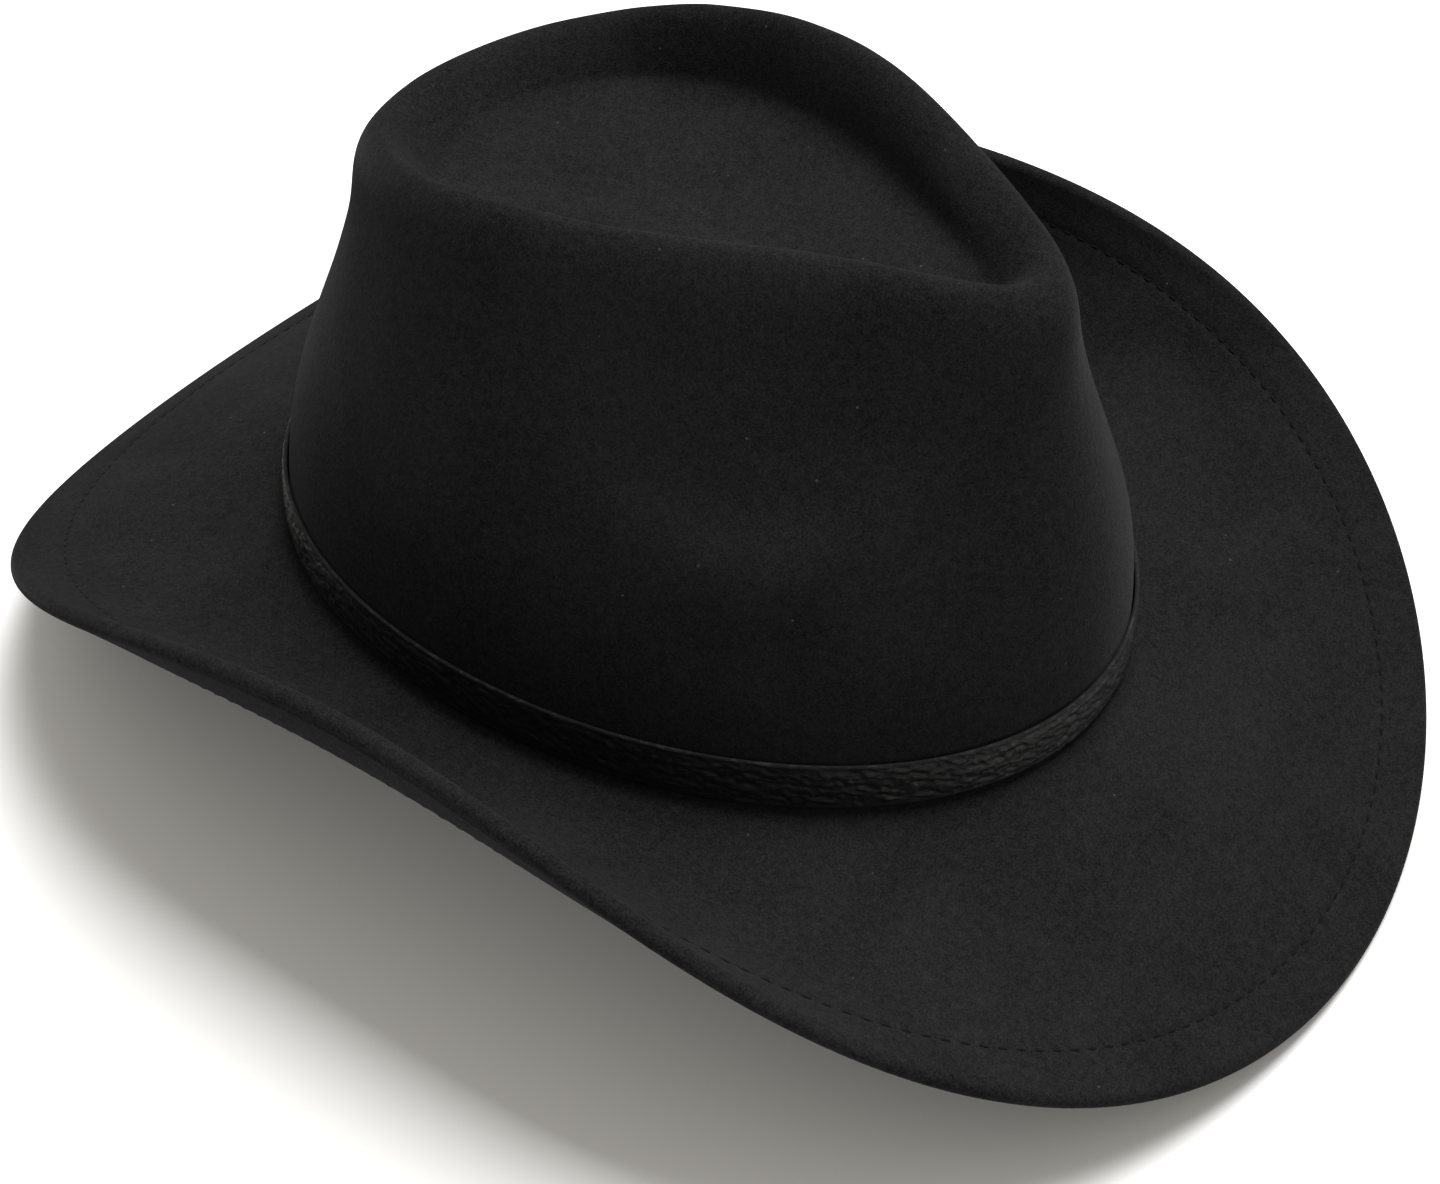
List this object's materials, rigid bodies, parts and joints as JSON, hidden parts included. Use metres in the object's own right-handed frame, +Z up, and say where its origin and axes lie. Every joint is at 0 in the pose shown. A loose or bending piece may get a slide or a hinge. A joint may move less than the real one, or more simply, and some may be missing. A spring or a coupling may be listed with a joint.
{
  "type": "cowboy hat",
  "caption": "Black felt western hat with a pinched teardrop crown, a brim rolled up at the sides with a stitched hem, a sweatband and a narrow buckled leather band.",
  "frame": {"origin": "on the surface the hat rests on, under the middle of its length and width", "axes": "+Z up, the front of the hat faces -Y, +X is the wearer's left"},
  "size_m": [0.2546, 0.3326, 0.1359],
  "materials": {
    "felt": "matte black pressed felt with a short nap",
    "wire_steel": "plain drawn wire",
    "sleeve_metal": "crimped sleeve",
    "thread": "black sewing thread",
    "sweatband_leather": "smooth black leather",
    "reed_cord": "covered cord",
    "ribbon": "black satin ribbon",
    "label_cloth": "plain woven label, blank",
    "band_leather": "pebbled and creased black leather, slightly glossy",
    "buckle_metal": "dull nickel"
  },
  "bodies": {
    "hat": {"felt_body": "felt", "brim_wire": "wire_steel", "wire_sleeve": "sleeve_metal", "hem_stitching": "thread", "sweatband": "sweatband_leather", "sweatband_reed": "reed_cord", "sweatband_stitching": "thread", "back_bow": "ribbon", "size_label": "label_cloth"},
    "hat_band": {"band_strap": "band_leather", "strap_stitching": "thread", "buckle_frame": "buckle_metal"},
    "prong": {"buckle_prong": "buckle_metal"},
    "keeper": {"band_keeper": "band_leather"}
  },
  "joints": [
    {"name": "band_lift_off", "type": "slide", "parent": "hat", "child": "hat_band", "axis": [0, 0, 1], "range_m": [0, 0.11]},
    {"name": "prong_lift", "type": "hinge", "parent": "hat_band", "child": "prong", "pos_m": [0.08412, 0.00921, 0.04003], "axis": [0, 0, 1], "range_deg": [0, 14]},
    {"name": "keeper_slide", "type": "slide", "parent": "hat_band", "child": "keeper", "axis": [-0.1492, 0.9888, 0], "range_m": [-0.0018, 0.0018]}
  ]
}
